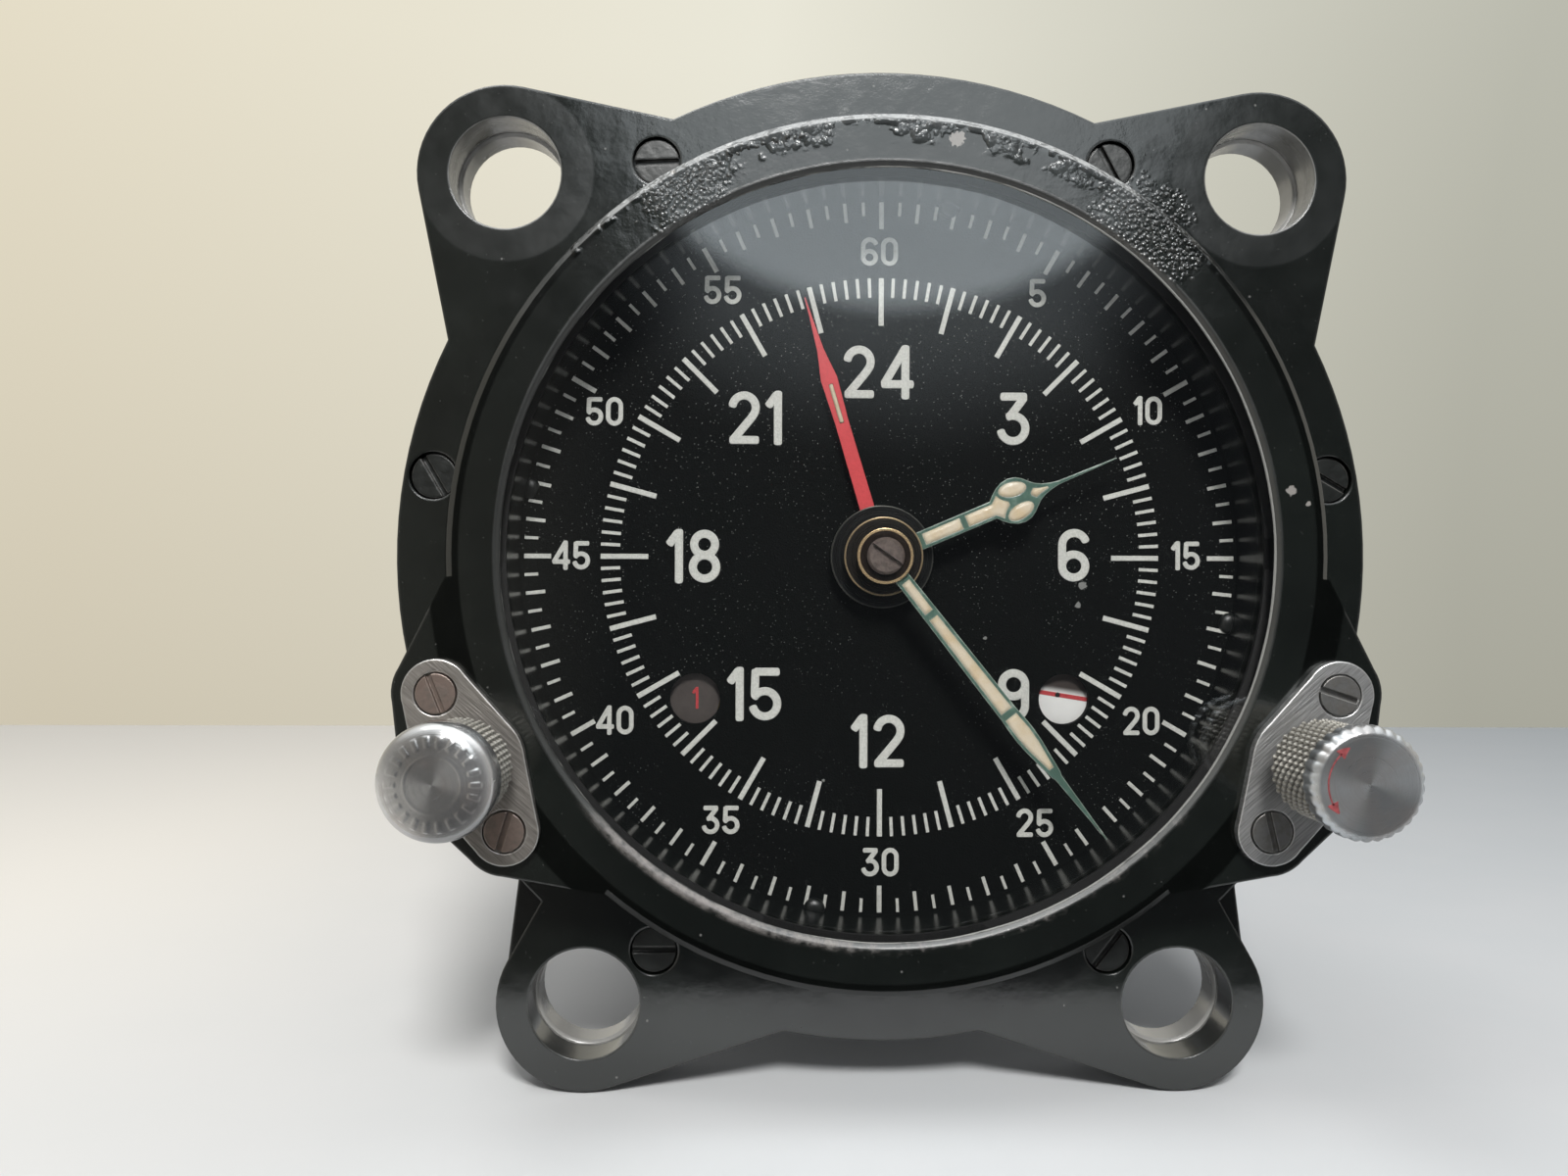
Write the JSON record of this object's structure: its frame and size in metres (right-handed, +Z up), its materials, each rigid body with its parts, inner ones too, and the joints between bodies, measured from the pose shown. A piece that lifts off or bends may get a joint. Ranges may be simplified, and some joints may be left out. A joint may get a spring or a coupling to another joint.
{
  "type": "aircraft panel clock",
  "caption": "Round mechanical panel clock with a day-long dial, sweep seconds, indicator windows, a pull-out winding knob, a turning reset knob and a lugged black case.",
  "frame": {"origin": "on the dial axis, in the plane of the rear faces of the mounting lugs, where the clock seats on a panel", "axes": "+Y along the dial axis from the face towards the rear cover, +Z up towards the top of the dial, +X to the right seen from the front"},
  "size_m": [0.1008, 0.0792, 0.1061],
  "materials": {
    "black_enamel": "semi-gloss",
    "dial_black": "matte",
    "glass": "clear",
    "rubber": "matte",
    "steel": "satin",
    "knob_aluminium": "satin",
    "brass": "satin",
    "red_paint": "satin",
    "hub_brown": "satin",
    "hand_green": "satin",
    "lume": "matte",
    "indicator_white": "matte"
  },
  "bodies": {
    "case": {"front_frame": "black_enamel", "rear_case": "black_enamel", "rear_cover": "black_enamel", "cover_screws": "steel", "frame_screws": "black_enamel", "glass": "glass", "glass_gasket": "rubber", "dial_wall": "black_enamel", "dial": "dial_black", "winding_plate": "knob_aluminium", "reset_plate": "knob_aluminium", "plate_screws": "steel", "winding_bush": "brass", "reset_bush": "brass", "main_plate": "brass", "back_plate": "brass", "pillars": "brass", "pillar_screws": "steel", "case_screws": "steel", "seconds_cock": "brass", "cock_screws": "steel", "escape_bridge": "brass", "balance_cock": "brass"},
    "winding_slider": {"winding_sleeve": "steel"},
    "winding_turner": {"winding_knob": "knob_aluminium", "winding_cap": "knob_aluminium", "winding_stem": "steel"},
    "reset_turner": {"reset_knob": "knob_aluminium", "reset_cap": "knob_aluminium", "reset_stem": "steel", "stop_lever": "steel"},
    "seconds": {"second_hand": "red_paint", "second_hub": "hub_brown", "sweep_pinion": "steel"},
    "third": {"third_wheel": "brass"},
    "minutes": {"centre_wheel": "brass", "cannon_pinion": "steel", "minute_hand": "hand_green", "minute_lume": "lume", "minute_hub": "brass", "hand_screw": "steel"},
    "hours": {"hour_wheel": "brass", "hour_hand": "hand_green", "hour_lume": "lume", "hour_hub": "hub_brown"},
    "minute_work": {"minute_wheel": "brass"},
    "fourth": {"fourth_wheel": "brass"},
    "escape": {"escape_wheel": "brass", "run_disc": "indicator_white"},
    "barrel": {"barrel": "brass", "barrel_cover": "brass", "mainspring": "steel"},
    "winding_train": {"winding_wheel": "brass", "day_disc": "hub_brown"},
    "ratchet": {"barrel_arbor": "steel", "ratchet_wheel": "steel"},
    "click": {"click": "steel"},
    "pallet": {"pallet_lever": "steel"},
    "balance": {"balance_wheel": "brass", "hairspring": "steel"}
  },
  "joints": [
    {"name": "seconds_spin", "type": "hinge", "parent": "case", "child": "seconds", "pos_m": [0, 0, 0], "axis": [0, 1, 0], "continuous": true},
    {"name": "third_spin", "type": "hinge", "parent": "case", "child": "third", "pos_m": [0.01226, 0, 0.01226], "axis": [0, 1, 0], "continuous": true},
    {"name": "minutes_spin", "type": "hinge", "parent": "case", "child": "minutes", "pos_m": [0, 0, 0], "axis": [0, 1, 0], "continuous": true},
    {"name": "hours_spin", "type": "hinge", "parent": "case", "child": "hours", "pos_m": [0, 0, 0], "axis": [0, 1, 0], "continuous": true},
    {"name": "minute_work_spin", "type": "hinge", "parent": "case", "child": "minute_work", "pos_m": [0, 0, -0.0105], "axis": [0, 1, 0], "continuous": true},
    {"name": "fourth_spin", "type": "hinge", "parent": "case", "child": "fourth", "pos_m": [0.0172, 0, -0.00132], "axis": [0, 1, 0], "continuous": true},
    {"name": "escape_spin", "type": "hinge", "parent": "case", "child": "escape", "pos_m": [0.0197, 0, -0.0151], "axis": [0, 1, 0], "continuous": true},
    {"name": "barrel_spin", "type": "hinge", "parent": "case", "child": "barrel", "pos_m": [-0.01913, 0, 0.00158], "axis": [0, 1, 0], "continuous": true},
    {"name": "winding_pull", "type": "slide", "parent": "case", "child": "winding_slider", "axis": [0, -1, 0], "range_m": [0, 0.002]},
    {"name": "winding_turn", "type": "hinge", "parent": "winding_slider", "child": "winding_turner", "pos_m": [-0.0409, 0, -0.02039], "axis": [0, 1, 0], "continuous": true},
    {"name": "winding_train_spin", "type": "hinge", "parent": "case", "child": "winding_train", "pos_m": [-0.02703, 0, -0.01348], "axis": [0, 1, 0], "continuous": true},
    {"name": "ratchet_spin", "type": "hinge", "parent": "case", "child": "ratchet", "pos_m": [-0.01913, 0, 0.00158], "axis": [0, 1, 0], "continuous": true},
    {"name": "click_lift", "type": "hinge", "parent": "case", "child": "click", "pos_m": [-0.02483, 0, 0.01145], "axis": [0, 1, 0], "range_deg": [0, 8]},
    {"name": "reset_turn", "type": "hinge", "parent": "case", "child": "reset_turner", "pos_m": [0.0409, 0, -0.02039], "axis": [0, 1, 0], "range_deg": [0, 20]},
    {"name": "pallet_rock", "type": "hinge", "parent": "case", "child": "pallet", "pos_m": [0.01282, 0, -0.01992], "axis": [0, 1, 0], "range_deg": [-3, 3]},
    {"name": "balance_swing", "type": "hinge", "parent": "case", "child": "balance", "pos_m": [0.00496, 0, -0.02542], "axis": [0, 1, 0], "range_deg": [-130, 130], "deforming": ["hairspring"]}
  ],
  "couplings": [
    {"joint": "third_spin", "follows": "seconds_spin", "ratio": -0.13333},
    {"joint": "minutes_spin", "follows": "seconds_spin", "ratio": 0.016667},
    {"joint": "hours_spin", "follows": "seconds_spin", "ratio": 0.00069444},
    {"joint": "minute_work_spin", "follows": "seconds_spin", "ratio": -0.0041667},
    {"joint": "fourth_spin", "follows": "seconds_spin", "ratio": 1},
    {"joint": "escape_spin", "follows": "seconds_spin", "ratio": -10},
    {"joint": "barrel_spin", "follows": "seconds_spin", "ratio": -0.002381},
    {"joint": "winding_train_spin", "follows": "winding_turn", "ratio": -0.40909},
    {"joint": "ratchet_spin", "follows": "winding_turn", "ratio": 0.75}
  ]
}
